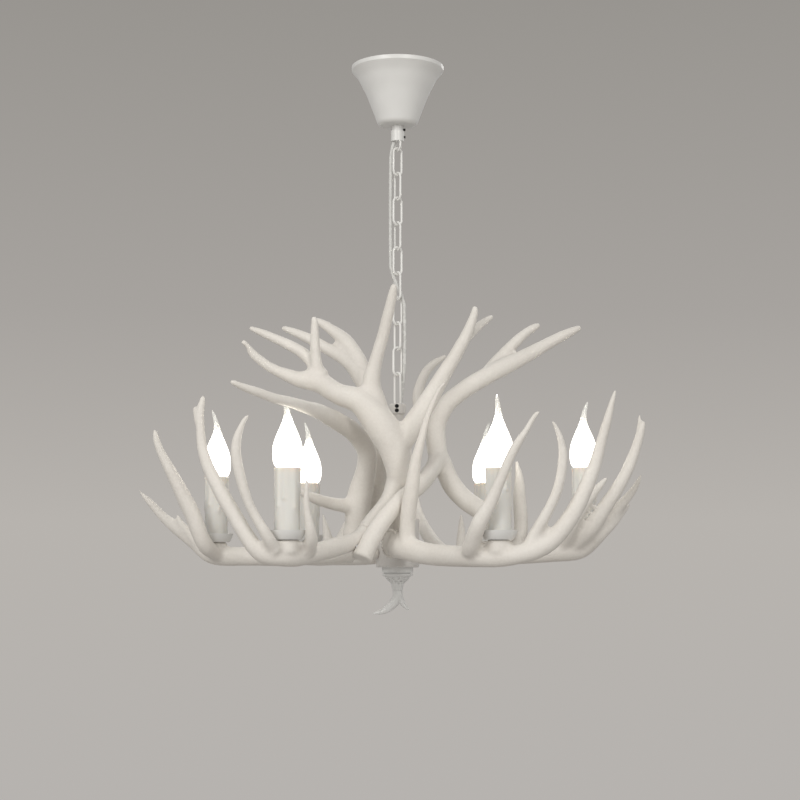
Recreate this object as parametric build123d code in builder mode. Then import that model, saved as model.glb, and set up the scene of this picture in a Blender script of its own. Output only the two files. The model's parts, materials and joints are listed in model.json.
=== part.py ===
from build123d import *

import os
from math import cos, radians, sin, sqrt

# Antler chandelier on a chain, in millimetres, +Z up.
# The origin is the centre of the canopy's rim, in the plane of the ceiling. -Y is the front.

# ---------- canopy and its fixings ----------
CANOPY_RIM_R = 60.0
CANOPY_HEIGHT = 78.0
CANOPY_WALL = 1.6
CANOPY_LIP = 5.0
CANOPY_FOOT_R = 20.0
BRACKET_LENGTH = 100.0
BRACKET_WIDTH = 20.0
BRACKET_THICK = 2.0
BRACKET_DROP = 16.0
BRACKET_CENTRE = 44.0
SLOT_SPACING = 80.0
SLOT_LENGTH = 12.0
SLOT_WIDTH = 5.0
NIPPLE_R = 5.0
NIPPLE_BORE_R = 3.4
NIPPLE_RISE = 7.0
NUT_ACROSS = 14.0
NUT_THICK = 4.0
COLLAR_R = 8.5
COLLAR_NECK_R = 7.3
COLLAR_NECK = 7.0
COLLAR_LENGTH = 20.7
COLLAR_FLOOR = 4.0
COLLAR_SCREW_R = 1.6
COLLAR_SCREW_OUT = 1.8
COLLAR_SCREW_BITE = 1.0
BLOCK_SIZE = (11.0, 16.0, 8.0)
BLOCK_SCREW_R = 1.5

# ---------- chain ----------
WIRE_R = 1.45
LINK_WIDTH = 15.6
LINK_LENGTH = 38.8
LINK_COUNT = 9
LINK_TURN = 35.0
LOOP_DROP = 12.0
CORD_R = 2.2
CORD_OFFSET = 8.8
CORD_HOLE_OFFSET = 3.2
CORD_EXIT_RISE = 1.7
CORD_EXIT_DROP = 4.0
CORD_EXIT_SIDE = 0.8
CORD_CROSSING_LINK = 6

# ---------- column and hub ----------
COLUMN_DROP = 232.0
COLUMN_R = 8.0
COLUMN_WALL = 1.2
CAP_R = 10.5
CAP_HEIGHT = 13.0
CAP_ROUND = 2.0
CAP_DEPTH = 37.0
HUB_R = 27.5
HUB_TOP = 47.0
HUB_BOTTOM = -5.0
PLATE_R = 27.5
PLATE_THICK = 9.0
PLATE_ROUND = 2.5
LUG_R = 7.5
CHAMBER_R = 21.0
CHAMBER_HEIGHT = 14.0
TUBE_SEAT = 20.0
FINIAL_NECK_R = 20.0
FINIAL_NECK = 6.5
FINIAL_GROOVE_R = 17.5
FINIAL_GROOVE = 1.6
FINIAL_DISC_R = 19.5
FINIAL_DISC = 7.5
FINIAL_BUDS = 9
FINIAL_BUD_R = 3.0
FINIAL_STEM_R = 6.4
FINIAL_STEM = 13.5
BURR_R = 16.8
STUD_R = 3.0
STUD_IN = 9.0
STUD_OUT = 12.0

# ---------- lamps ----------
SEAT_RISE = 19.0
BOSS_R = 13.0
BOSS_HEIGHT = 15.0
CUP_R = 21.5
CUP_HEIGHT = 11.0
CUP_WALL = 1.6
SLEEVE_R = 15.0
SLEEVE_WALL = 1.5
SLEEVE_LENGTH = 81.5
HOLDER_R = 11.5
HOLDER_LENGTH = 34.0
LAMP_TUBE_R = 5.0
LAMP_TUBE_BORE = 3.5
LAMP_TUBE_DEPTH = 9.0
CAP_E14_R = 6.9
CAP_E14_LENGTH = 21.0
BULB_LEAN = 7.0
BULB_BEND = 58.0
BULB_WALL = 0.9
CAP_ROOM = 1.0

# ---------- fits ----------
FIT = 0.3
SLIDE = 0.05

# ---------- heights that follow from the sizes above ----------
COLLAR_BOTTOM = -CANOPY_HEIGHT - COLLAR_LENGTH
FIRST_PIVOT = COLLAR_BOTTOM - LOOP_DROP
LINK_SPAN = LINK_LENGTH - 2 * WIRE_R
PITCH = LINK_SPAN - 2 * WIRE_R - FIT
LAST_PIVOT = FIRST_PIVOT - LINK_COUNT * PITCH
RING_Z = LAST_PIVOT - COLUMN_DROP
SEAT_Z = RING_Z + SEAT_RISE

# Six lamps round the ring: radius, angle, extra height of the seat, and which way the flame tip leans.
LAMPS = [
    (235.0, 300.0, 0.0, 250.0),
    (240.0, 238.0, 0.0, 185.0),
    (231.0, 180.0, -1.0, 180.0),
    (238.0, 0.0, 11.0, 20.0),
    (238.0, 121.5, 0.0, 160.0),
    (237.0, 59.0, 0.0, 10.0),
]

# The flame bulb from its base to its tip: height, radius.
BULB_OUTLINE = [
    (0, 7.4), (6, 10.5), (12, 14.2), (20, 17.2), (26, 17.5), (35, 15.4), (44, 11.6), (53, 7.8), (61, 4.7), (68, 3.4),
    (76, 2.7), (83, 1.9), (88, 0.9),
]
# How many stations of the outline the hollow inside reaches.
BULB_HOLLOW = 8

# Every antler is branches, and a branch is a row of round stations from root to tip:
# x, y, height over the ring's centre plane, radius.
UPPER_FRONT = [
    [(0, -44, 31, 10.5), (-1, -46, 57, 11.5), (0, -51, 82, 12), (1, -56, 104, 15), (-4, -60, 133, 19), (-22, -66, 165, 20),
     (-46, -72, 191, 16), (-74, -76, 201, 13), (-98, -80, 215, 12.5), (-120, -84, 218, 10), (-145, -90, 226, 6.6),
     (-169, -98, 240, 5.6), (-190, -108, 262, 3.2)],
    [(-93, -80, 222, 9.5), (-114, -72, 249, 7.4), (-140, -66, 265, 6.2), (-170, -60, 279, 4.8), (-186, -57, 286, 2.6)],
    [(-93, -80, 212, 8.5), (-100, -84, 239, 6.9), (-102, -90, 266, 6), (-102, -94, 283, 4.8), (-103, -97, 294, 2.9)],
    [(-19, -64, 171, 14), (-32, -70, 210, 11.6), (-27, -78, 240, 8.4), (-18, -88, 271, 7.4), (-10, -100, 302, 6.6),
     (-5, -110, 325, 4.8), (-4, -113, 332, 2.8)],
    [(-1, -60, 134, 15.5), (22, -58, 167, 13.5), (41, -60, 197, 11.5), (57, -64, 225, 9.7), (72, -68, 249, 8.2),
     (85, -74, 273, 7), (94, -80, 295, 5.6), (96, -84, 309, 2.8)],
    [(82, -70, 267, 5.8), (103, -60, 288, 5), (120, -54, 301, 2.6)],
    [(0, -53, 97, 13), (-10, -60, 69, 11.4), (-30, -77, 44, 10.4), (-39, -89, 31, 10.2)],
]
UPPER_RIGHT = [
    [(56, 30, 112, 12), (51, 33, 142, 12.7), (50, 36, 171, 13), (63, 40, 197, 11.8), (84, 44, 215, 11.2),
     (108, 48, 231, 11.4), (135, 52, 246, 11), (162, 56, 260, 10), (189, 60, 275, 8.5), (216, 64, 290, 6.8),
     (236, 68, 300, 4.7), (244, 70, 304, 2.7)],
    [(111, 52, 234, 7.9), (136, 66, 262, 8), (154, 74, 281, 7.5), (166, 80, 293, 6.4), (180, 86, 304, 5.2),
     (191, 90, 310, 2.7)],
    [(48, 38, 162, 10.4), (28, 50, 198, 7.6), (30, 62, 226, 6.6), (43, 75, 251, 5.6), (65, 88, 268, 2.6)],
    [(53, 32, 133, 11.4), (70, 25, 93, 12.6), (88, 15, 72, 12.6), (108, 0, 56, 12), (128, -18, 33, 11),
     (140, -28, 10, 10)],
    [(54, 32, 128, 11.2), (42, -8, 107, 10.6), (30, -46, 90, 10.3), (18, -69, 80, 10.3), (5, -82, 70, 10.3),
     (-9, -92, 54, 10.6), (-24, -104, 34, 11), (-38, -114, 9, 12), (-43, -118, -3, 13)],
]
UPPER_LEFT = [
    [(-55, 30, 21, 15), (-50, 24, 73, 16), (-45, 20, 92, 14.8), (-41, 14, 111, 12.6), (-40, 6, 134, 12),
     (-54, -14, 156, 12), (-74, -60, 167, 11.4), (-93, -130, 173, 9.4), (-108, -192, 174, 7.4), (-123, -216, 177, 6.2),
     (-140, -232, 180, 5.6), (-159, -246, 186, 5), (-178, -258, 192, 3.9), (-188, -264, 196, 2.5)],
    [(-26, 44, 47, 10.4), (-23, 45, 115, 9.1), (-28, 48, 158, 11.8), (-34, 50, 202, 13), (-47, 58, 243, 12)],
    [(-42, 56, 226, 11.6), (-63, 62, 254, 9.3), (-90, 68, 273, 7.8), (-118, 74, 289, 6.6), (-141, 80, 300, 5),
     (-155, 84, 305, 2.6)],
    [(-42, 58, 232, 11.6), (-54, 64, 262, 10.4), (-69, 70, 285, 9.6), (-86, 78, 300, 7.4), (-101, 84, 311, 5.3),
     (-112, 88, 317, 2.6)],
    [(-48, 24, 65, 12.5), (-68, 15, 65, 9), (-92, -5, 69, 7.3), (-110, -25, 75, 6.3), (-129, -45, 84, 1.8)],
    [(-50, 26, 40, 12), (-36, 36, 44, 11), (-24, 46, 58, 9.6)],
]
LOWER_1 = [
    [(-1, -71, 14, 15.6), (10, -85, 10, 14.6), (36, -118, 3, 13.2), (68, -160, 0, 12.4),
     (96, -190, -1, 11.4), (121, -205, -1, 11), (152, -212, 5, 10.9), (176, -210, 17, 10.6), (196, -208, 39, 10),
     (213, -205, 68, 9.1), (228, -205, 103, 7.5), (237, -206, 134, 6), (245, -208, 162, 4.9), (251, -210, 185, 2.8),
     (253, -211, 193, 1.4)],
    [(12, -88, 9, 11), (12, -93, 35, 9.6), (14, -100, 59, 9.6), (18, -107, 84, 8.8), (22, -113, 113, 7),
     (29, -119, 141, 5), (35, -124, 164, 3.9), (43, -128, 185, 3.1), (51, -132, 201, 2.4), (60, -134, 210, 1.2)],
    [(84, -180, 3, 10), (86, -206, 14, 9.8), (94, -226, 38, 8.8), (106, -232, 60, 7.3), (117, -238, 85, 6),
     (127, -243, 109, 5.6), (137, -247, 128, 4.8), (148, -250, 145, 3.6), (162, -254, 164, 1.4)],
    [(152, -209, 8, 9), (159, -213, 27, 6.9), (172, -218, 50, 6.2), (183, -222, 74, 5.8), (189, -226, 102, 5.4),
     (189, -229, 124, 4.6), (183, -232, 144, 3), (177, -234, 155, 1.4)],
    [(138, -200, 4, 8.5), (145, -176, 34, 8.2), (144, -170, 64, 7.6), (144, -168, 87, 5.7), (141, -167, 113, 1.6)],
]
LOWER_2 = [
    [(-39, -89.5, 30.5, 10.2), (-48, -101, 20, 10.6), (-66, -124, 13, 11), (-86, -150, 7, 11.2),
     (-113, -185, 0, 11.1), (-128, -203, -1, 10.9), (-155, -213, 3, 10.2), (-172, -214, 22, 9.2), (-187, -212, 47, 8.8),
     (-202, -210, 71, 8.3), (-216, -209, 97, 7.2), (-225, -208, 122, 5.8), (-228, -208, 148, 5.3),
     (-228, -208, 169, 4.4), (-225, -208, 186, 1.6)],
    [(-228, -208, 146, 4.4), (-233, -206, 162, 3.5), (-236, -205, 173, 1.4)],
    [(-140, -216, 7, 8.5), (-150, -230, 26, 6.2), (-163, -234, 48, 5.4), (-172, -238, 69, 5.6), (-179, -241, 93, 6.1),
     (-183, -244, 118, 5.9), (-180, -246, 139, 4.5), (-174, -247, 153, 3), (-168, -248, 160, 1.4)],
    [(-102, -186, 6, 8.5), (-99, -210, 24, 6.8), (-102, -220, 45, 4.7), (-104, -224, 66, 3.4), (-104, -226, 88, 1.6)],
]
LOWER_3 = [
    [(-57, -22, 4, 12), (-97, -26, 2, 11.6), (-141, -26, 0, 11.6), (-186, -14, 0, 11.6), (-230, 4, 1, 12),
     (-250, 21, 10, 11), (-267, 27, 24, 10), (-284, 28, 36, 8.7), (-302, 30, 50, 6.2), (-322, 32, 71, 4.4),
     (-337, 32, 88, 1.6)],
    [(-226, -2, 2, 9.5), (-238, -24, 10, 9.7), (-247, -36, 26, 10), (-256, -38, 50, 10.2), (-272, -39, 82, 8.9),
     (-288, -42, 113, 6.6), (-298, -45, 133, 5.2), (-303, -47, 149, 3.7), (-305, -48, 159, 1.5)],
    [(-252, 20, 10, 8.5), (-267, 20, 29, 5.8), (-278, 20, 42, 3.7), (-284, 20, 54, 1.4)],
]
LOWER_4 = [
    [(63, -16, 2, 12), (104, -28, 0, 11.6), (154, -32, 2, 11.5), (200, -25, 5, 11.6), (232, -14, 9, 11.5),
     (256, -29, 31, 9.6), (275, -18, 47, 7.1), (287, -8, 58, 4.5), (295, 0, 66, 1.6)],
    [(255, -29, 29, 8.9), (275, -19, 56, 7.2), (292, -18, 75, 5.6), (303, -22, 91, 3.8), (309, -24, 104, 1.5)],
    [(216, -12, 9, 10), (240, -38, 33, 10), (260, -43, 62, 9), (275, -45, 84, 8.2), (287, -46, 106, 7.4),
     (297, -48, 130, 6.4), (304, -50, 153, 5.2), (308, -51, 169, 2.6)],
    [(303, -49, 148, 4.4), (304, -46, 165, 3.1), (304, -44, 179, 1.4)],
    [(204, -22, 7, 8.8), (216, -44, 35, 7.2), (231, -50, 60, 6.5), (245, -54, 79, 5.2), (255, -57, 91, 3.5),
     (261, -58, 98, 1.4)],
]
LOWER_5 = [
    [(-30, 60, 3, 13), (-55, 110, 1, 12.5), (-90, 160, 0, 12), (-122, 202, 0, 12), (-150, 222, 4, 11.5),
     (-163, 238, 25, 10), (-168, 246, 57, 8), (-166, 250, 97, 6.2), (-163, 252, 137, 4.5), (-160, 253, 172, 1.6)],
    [(-88, 158, 3, 10), (-74, 196, 30, 9), (-56, 222, 72, 7.6), (-46, 238, 117, 6), (-42, 245, 157, 4.4),
     (-45, 248, 187, 1.6)],
    [(-92, 166, 4, 8), (-98, 176, 34, 5.4), (-104, 182, 59, 1.5)],
    [(-34, 68, 4, 9), (-28, 78, 47, 6.6), (-28, 79, 77, 5.8), (-29, 79, 107, 1.5)],
]
LOWER_6 = [
    [(30, 60, 3, 13), (55, 110, 1, 12.5), (88, 160, 0, 12), (120, 202, 0, 12), (146, 224, 4, 11.5),
     (152, 240, 25, 10), (149, 247, 57, 8), (145, 250, 97, 6.2), (142, 252, 137, 4.5), (140, 253, 167, 1.6)],
    [(62, 120, 3, 10.5), (44, 170, 26, 9.4), (27, 212, 62, 7.8), (19, 236, 107, 6), (16, 246, 147, 4.5),
     (17, 250, 177, 1.6)],
    [(86, 160, 4, 8), (88, 180, 32, 5.4), (88, 188, 59, 1.5)],
]
FINIAL_ANTLER = [
    [(0, 0, 0, 6.4), (0, 0, -7, 6.2), (-4, 0, -15, 6), (-12, 0, -22.5, 5), (-20, 0, -26.8, 3.4), (-26, 0, -28.2, 2.1),
     (-31, 0, -28.8, 0.8)],
    [(1, 0, -3, 5.8), (3.5, 0, -11, 4.6), (8, 0, -18, 3), (14.5, 0, -24.5, 1)],
]


# Where each antler meets the hub's side: a round lug runs from the hub to this point.
LUGS = {
    "upper_antler_front": (0, -44, 38),
    "upper_antler_left": (-50, 27, 33),
    "lower_antler_1": (24, -103, 6),
    "lower_antler_3": (-57, -22, 4),
    "lower_antler_4": (63, -16, 4),
    "lower_antler_5": (-30, 60, 3),
    "lower_antler_6": (30, 60, 3),
}
# Studs that join antler to antler, from one end to the other.
CROSS_STUDS = {
    ("upper_antler_front", "lower_antler_2"): [(-33, -81, 39), (-50, -104, 19)],
    ("upper_antler_right", "lower_antler_2"): [(-38, -113, 10), (-62, -119, 14)],
    ("upper_antler_right", "upper_antler_front"): [(18, -69, 80), (-2, -50, 80)],
    ("upper_antler_right", "lower_antler_4"): [(131, -21, 28), (140, -30, 2)],
}
# The thick burr at an antler's root, from its middle to its cut face.
BURRS = {
    "lower_antler_1": [(6, -64, 15), (-9, -76, 15.5)],
}
STATION_GAP = 24.0


def even_stations(branch):
    """Put stations between the given ones, on a smooth curve through them, no further apart than the gap."""
    stations = []
    last = len(branch) - 1
    for n in range(last):
        before, here, there, after = (branch[min(max(n + k, 0), last)] for k in (-1, 0, 1, 2))
        span = sqrt(sum((q - p) ** 2 for p, q in zip(here[:3], there[:3])))
        steps = max(1, int(span / STATION_GAP) + 1)
        for step in range(steps):
            t = step / steps
            stations.append(tuple(
                b + 0.5 * t * ((c - a) + t * ((2 * a - 5 * b + 4 * c - d) + t * (3 * b - a - 3 * c + d)))
                for a, b, c, d in zip(before, here, there, after)
            ))
    stations.append(branch[last])
    return stations


def station_planes(stations, base):
    """Planes square to a branch at its stations, all with their X axis turned the same way."""
    points = [Vector(x, y, base + z) for x, y, z, _ in stations]
    planes = []
    side = None
    for n, point in enumerate(points):
        along = (points[min(n + 1, len(points) - 1)] - points[max(n - 1, 0)]).normalized()
        if side is None:
            side = along.cross(Vector(0.3, 1, 0.2)).normalized()
        side = (side - along * side.dot(along)).normalized()
        planes.append(Plane(origin=point, x_dir=side, z_dir=along))
    return planes


def add_branch(branch, base, grow=0.0, mode=Mode.ADD):
    """Loft one branch into the part being built, or cut it out with some room round it."""
    stations = even_stations(branch)
    rounds = []
    for plane, station in zip(station_planes(stations, base), stations):
        with BuildSketch(plane) as ring:
            Circle(station[3] + grow)
        rounds.append(ring.sketch)
    loft(rounds, mode=mode)


def add_rod(start, end, radius, mode=Mode.ADD):
    """A round rod from one point to another, added or cut."""
    along = Vector(*end) - Vector(*start)
    with BuildSketch(Plane(origin=start, z_dir=along)) as ring:
        Circle(radius)
    extrude(ring.sketch, amount=along.length, mode=mode)


def over_ring(point):
    return point[0], point[1], RING_Z + point[2]


def hub_axis_at(point):
    return 0, 0, RING_Z + point[2]


def stud_ends(name):
    """Ends of the stud from inside the hub into an antler's lug."""
    x, y, z = over_ring(LUGS[name])
    reach = sqrt(x * x + y * y)
    return [(x * r / reach, y * r / reach, z) for r in (HUB_R - STUD_IN, HUB_R + STUD_OUT)]


def lamp_place(lamp):
    radius, angle, lift, _ = lamp
    return radius * cos(radians(angle)), radius * sin(radians(angle)), SEAT_Z + lift


def build_antler(name, branches, copes=(), lamp=None):
    """One cast antler: its branches, its lug to the hub, its lamp seat, and the notches that seat it."""
    with BuildPart() as antler:
        for branch in branches:
            add_branch(branch, RING_Z)
        if name in LUGS:
            add_rod(hub_axis_at(LUGS[name]), over_ring(LUGS[name]), LUG_R)
        if name in BURRS:
            middle, face = BURRS[name]
            add_rod(over_ring(middle), over_ring(face), BURR_R)
        if lamp:
            x, y, seat = lamp_place(lamp)
            add_rod((x, y, seat - BOSS_HEIGHT), (x, y, seat), BOSS_R)
            add_rod((x, y, seat - LAMP_TUBE_DEPTH), (x, y, seat + FIT), LAMP_TUBE_R + SLIDE, Mode.SUBTRACT)
        with Locations((0, 0, RING_Z + HUB_BOTTOM)):
            Cylinder(
                HUB_R + SLIDE, HUB_TOP - HUB_BOTTOM + SLIDE,
                align=(Align.CENTER, Align.CENTER, Align.MIN), mode=Mode.SUBTRACT,
            )
        for branch in copes:
            add_branch(branch, RING_Z, FIT, Mode.SUBTRACT)
        if name in LUGS:
            add_rod(*stud_ends(name), STUD_R + SLIDE, Mode.SUBTRACT)
        for names, ends in CROSS_STUDS.items():
            if name in names:
                add_rod(over_ring(ends[0]), over_ring(ends[1]), STUD_R + SLIDE, Mode.SUBTRACT)
    antler.part.label = name
    export_step(antler.part, "parts/" + name + ".step")
    return antler.part


os.makedirs("parts", exist_ok=True)

# ---------- ceiling bracket, nipple, nut ----------
PLATE_TOP = -BRACKET_DROP + BRACKET_THICK
FOOT_START = BRACKET_CENTRE / 2 + BRACKET_DROP / 2

with BuildPart() as ceiling_bracket:
    with BuildSketch(Plane.XZ):
        with BuildLine():
            half = BRACKET_LENGTH / 2
            inner = BRACKET_CENTRE / 2
            Polyline(
                (-half, 0), (-FOOT_START, 0), (-inner, PLATE_TOP), (inner, PLATE_TOP), (FOOT_START, 0), (half, 0),
                (half, -BRACKET_THICK), (FOOT_START + BRACKET_THICK / 2, -BRACKET_THICK),
                (inner + BRACKET_THICK / 2, -BRACKET_DROP), (-inner - BRACKET_THICK / 2, -BRACKET_DROP),
                (-FOOT_START - BRACKET_THICK / 2, -BRACKET_THICK), (-half, -BRACKET_THICK), close=True,
            )
        make_face()
    extrude(amount=BRACKET_WIDTH / 2, both=True)
    with BuildSketch(Plane.XY):
        with Locations((-SLOT_SPACING / 2, 0), (SLOT_SPACING / 2, 0)):
            SlotOverall(SLOT_LENGTH, SLOT_WIDTH)
    extrude(amount=-BRACKET_THICK, mode=Mode.SUBTRACT)
    with BuildSketch(Plane.XY.offset(-BRACKET_DROP)):
        Circle(NIPPLE_R + SLIDE)
    extrude(amount=BRACKET_THICK, mode=Mode.SUBTRACT)
ceiling_bracket.part.label = "ceiling_bracket"
export_step(ceiling_bracket.part, "parts/ceiling_bracket.step")

NIPPLE_TOP = PLATE_TOP + NIPPLE_RISE
NIPPLE_END = -CANOPY_HEIGHT - COLLAR_NECK + FIT

with BuildPart() as threaded_nipple:
    with BuildSketch(Plane.XY.offset(NIPPLE_END)):
        Circle(NIPPLE_R)
        Circle(NIPPLE_BORE_R, mode=Mode.SUBTRACT)
    extrude(amount=NIPPLE_TOP - NIPPLE_END)
threaded_nipple.part.label = "threaded_nipple"
export_step(threaded_nipple.part, "parts/threaded_nipple.step")

with BuildPart() as nipple_nut:
    with BuildSketch(Plane.XY.offset(PLATE_TOP)):
        RegularPolygon(NUT_ACROSS / 2, 6, major_radius=False)
        Circle(NIPPLE_R + SLIDE, mode=Mode.SUBTRACT)
    extrude(amount=NUT_THICK)
nipple_nut.part.label = "nipple_nut"
export_step(nipple_nut.part, "parts/nipple_nut.step")

# ---------- terminal block beside the nipple ----------
BLOCK_X = (NUT_ACROSS / 2 + BRACKET_CENTRE / 2) / 2 + FIT
BLOCK_TOP = PLATE_TOP + BLOCK_SIZE[2]

with BuildPart() as terminal_block:
    with Locations((BLOCK_X, 0, PLATE_TOP)):
        Box(*BLOCK_SIZE, align=(Align.CENTER, Align.CENTER, Align.MIN))
    fillet(terminal_block.edges().filter_by(Axis.Z), BLOCK_SCREW_R)
    with Locations((BLOCK_X, 0, BLOCK_TOP)):
        with GridLocations(0, BLOCK_SIZE[1] / 3, 1, 3):
            Hole(BLOCK_SCREW_R + SLIDE, BLOCK_SIZE[2] / 2)
terminal_block.part.label = "terminal_block"
export_step(terminal_block.part, "parts/terminal_block.step")

with BuildPart() as terminal_screws:
    with BuildSketch(Plane.XY.offset(BLOCK_TOP - BLOCK_SIZE[2] / 2)):
        with Locations((BLOCK_X, 0)):
            with GridLocations(0, BLOCK_SIZE[1] / 3, 1, 3):
                Circle(BLOCK_SCREW_R)
    extrude(amount=BLOCK_SIZE[2] / 2 - FIT)
terminal_screws.part.label = "terminal_screws"
export_step(terminal_screws.part, "parts/terminal_screws.step")


# ---------- canopy ----------
# The bell's side from its foot up to its lip: share of the way out, share of the way up.
BELL_SIDE = [
    (0.085, 0.012), (0.15, 0.045), (0.193, 0.1), (0.355, 0.335), (0.54, 0.592), (0.673, 0.737), (0.788, 0.859),
    (0.92, 0.95),
]


def canopy_outline(inset):
    """Half section of the bell: a flat foot with a round edge, a hollow flare and a short upright lip."""
    rim = CANOPY_RIM_R - inset
    foot = CANOPY_FOOT_R - inset
    floor = -CANOPY_HEIGHT + inset
    lip = -CANOPY_LIP + inset
    side = [(foot + out * (rim - foot), floor + up * (lip - floor)) for out, up in BELL_SIDE]
    with BuildLine() as outline:
        Line((0, floor), (foot, floor))
        Spline((foot, floor), *side, (rim, lip))
        Line((rim, lip), (rim, 0))
        Line((rim, 0), (0, 0))
        Line((0, 0), (0, floor))
    return outline.line


with BuildPart() as canopy_cover:
    with BuildSketch(Plane.XZ):
        add(canopy_outline(0))
        make_face()
    revolve(axis=Axis.Z)
    with BuildSketch(Plane.XZ):
        add(canopy_outline(CANOPY_WALL))
        make_face()
    revolve(axis=Axis.Z, mode=Mode.SUBTRACT)
    with BuildSketch(Plane.XY.offset(-CANOPY_HEIGHT)):
        Circle(NIPPLE_R + FIT)
    extrude(amount=2 * CANOPY_WALL, mode=Mode.SUBTRACT)
canopy_cover.part.label = "canopy_cover"
export_step(canopy_cover.part, "parts/canopy_cover.step")

# ---------- collar under the canopy, its screws and its loop ----------
COLLAR_STEP = -CANOPY_HEIGHT - COLLAR_NECK
COLLAR_CHAMBER_R = COLLAR_R - CANOPY_WALL
COLLAR_FLOOR_TOP = COLLAR_BOTTOM + COLLAR_FLOOR
CORD_CORNER = (-CORD_HOLE_OFFSET, 0, COLLAR_FLOOR_TOP + CORD_EXIT_RISE)
CORD_START = (-CORD_OFFSET, CORD_EXIT_SIDE, FIRST_PIVOT - CORD_EXIT_DROP)
LOOP_ARC_R = LINK_WIDTH / 2 - WIRE_R
ODD_TURN = LINK_TURN
EVEN_TURN = LINK_TURN + 90


def turned(distance, turn):
    return distance * cos(radians(turn)), distance * sin(radians(turn))


SCREW_HEIGHTS = [COLLAR_STEP + COLLAR_SCREW_R + FIT, COLLAR_FLOOR_TOP + COLLAR_SCREW_R + FIT]

with BuildPart() as canopy_collar:
    with BuildSketch(Plane.XY.offset(COLLAR_BOTTOM)):
        Circle(COLLAR_R)
    extrude(amount=COLLAR_STEP - COLLAR_BOTTOM)
    with BuildSketch(Plane.XY.offset(COLLAR_STEP)):
        Circle(COLLAR_NECK_R)
    extrude(amount=COLLAR_NECK)
    with BuildSketch(Plane.XY.offset(COLLAR_STEP)):
        Circle(NIPPLE_R + SLIDE)
    extrude(amount=COLLAR_NECK, mode=Mode.SUBTRACT)
    with BuildSketch(Plane.XY.offset(COLLAR_FLOOR_TOP)):
        Circle(COLLAR_CHAMBER_R)
    extrude(amount=COLLAR_STEP - COLLAR_FLOOR_TOP, mode=Mode.SUBTRACT)
    with BuildSketch(Plane.XY.offset(COLLAR_BOTTOM)):
        with Locations(turned(LOOP_ARC_R, EVEN_TURN), turned(-LOOP_ARC_R, EVEN_TURN)):
            Circle(WIRE_R + SLIDE)
    extrude(amount=COLLAR_FLOOR, mode=Mode.SUBTRACT)
    add_rod(CORD_CORNER, CORD_START, CORD_R + FIT, Mode.SUBTRACT)
    for height in SCREW_HEIGHTS:
        add_rod((0, 0, height), (COLLAR_R + COLLAR_SCREW_OUT, 0, height), COLLAR_SCREW_R + SLIDE, Mode.SUBTRACT)
canopy_collar.part.label = "canopy_collar"
export_step(canopy_collar.part, "parts/canopy_collar.step")

with BuildPart() as collar_screws:
    for height, inner in zip(SCREW_HEIGHTS, (NIPPLE_R + SLIDE, COLLAR_CHAMBER_R - COLLAR_SCREW_BITE)):
        add_rod((inner, 0, height), (COLLAR_R + COLLAR_SCREW_OUT, 0, height), COLLAR_SCREW_R)
collar_screws.part.label = "collar_screws"
export_step(collar_screws.part, "parts/collar_screws.step")


def hanging_loop(name, arc_z, end_z, turn):
    """A U of wire: its round end at arc_z, its two legs running straight to end_z."""
    upright = Plane(origin=(0, 0, arc_z), x_dir=(*turned(1, turn), 0), z_dir=(*turned(1, turn - 90), 0))
    leg = end_z - arc_z
    bulge = LOOP_ARC_R if leg < 0 else -LOOP_ARC_R
    with BuildPart() as loop:
        with BuildLine(upright) as route:
            Line((-LOOP_ARC_R, leg), (-LOOP_ARC_R, -bulge))
            ThreePointArc((-LOOP_ARC_R, -bulge), (0, 0), (LOOP_ARC_R, -bulge))
            Line((LOOP_ARC_R, -bulge), (LOOP_ARC_R, leg))
        with BuildSketch(Plane(origin=route.line @ 0, z_dir=route.line % 0)) as wire:
            Circle(WIRE_R)
        sweep(wire.sketch, path=route.line)
    loop.part.label = name
    export_step(loop.part, "parts/" + name + ".step")
    return loop.part


canopy_loop = hanging_loop("canopy_loop", FIRST_PIVOT, COLLAR_FLOOR_TOP - FIT, EVEN_TURN)


# ---------- chain ----------
def chain_link(number):
    """A long link: two straight sides and two half rounds, its top wire resting in the wire above."""
    top = FIRST_PIVOT - (number - 1) * PITCH + 2 * WIRE_R + FIT
    centre = top - LINK_SPAN / 2
    turn = ODD_TURN if number % 2 else EVEN_TURN
    upright = Plane(origin=(0, 0, centre), x_dir=(*turned(1, turn), 0), z_dir=(*turned(1, turn - 90), 0))
    straight = LINK_SPAN / 2 - LOOP_ARC_R
    with BuildPart() as link:
        with BuildLine(upright) as route:
            Line((LOOP_ARC_R, -straight), (LOOP_ARC_R, straight))
            ThreePointArc((LOOP_ARC_R, straight), (0, straight + LOOP_ARC_R), (-LOOP_ARC_R, straight))
            Line((-LOOP_ARC_R, straight), (-LOOP_ARC_R, -straight))
            ThreePointArc((-LOOP_ARC_R, -straight), (0, -straight - LOOP_ARC_R), (LOOP_ARC_R, -straight))
        with BuildSketch(Plane(origin=route.line @ 0, z_dir=route.line % 0)) as wire:
            Circle(WIRE_R)
        sweep(wire.sketch, path=route.line)
    link.part.label = "chain_link_" + str(number)
    export_step(link.part, "parts/" + link.part.label + ".step")
    return link.part


chain_links = [chain_link(number) for number in range(1, LINK_COUNT + 1)]

# ---------- column: loop, cap and tube ----------
CAP_TOP = LAST_PIVOT - CAP_DEPTH
CAP_ROOF = 5.0
LOOP_BITE = 4.0
TUBE_END = RING_Z + HUB_TOP - TUBE_SEAT
CORD_ENTRY = CORD_HOLE_OFFSET + 1.0

column_loop = hanging_loop("column_loop", LAST_PIVOT + 2 * WIRE_R + FIT, CAP_TOP - LOOP_BITE, EVEN_TURN)

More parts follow.
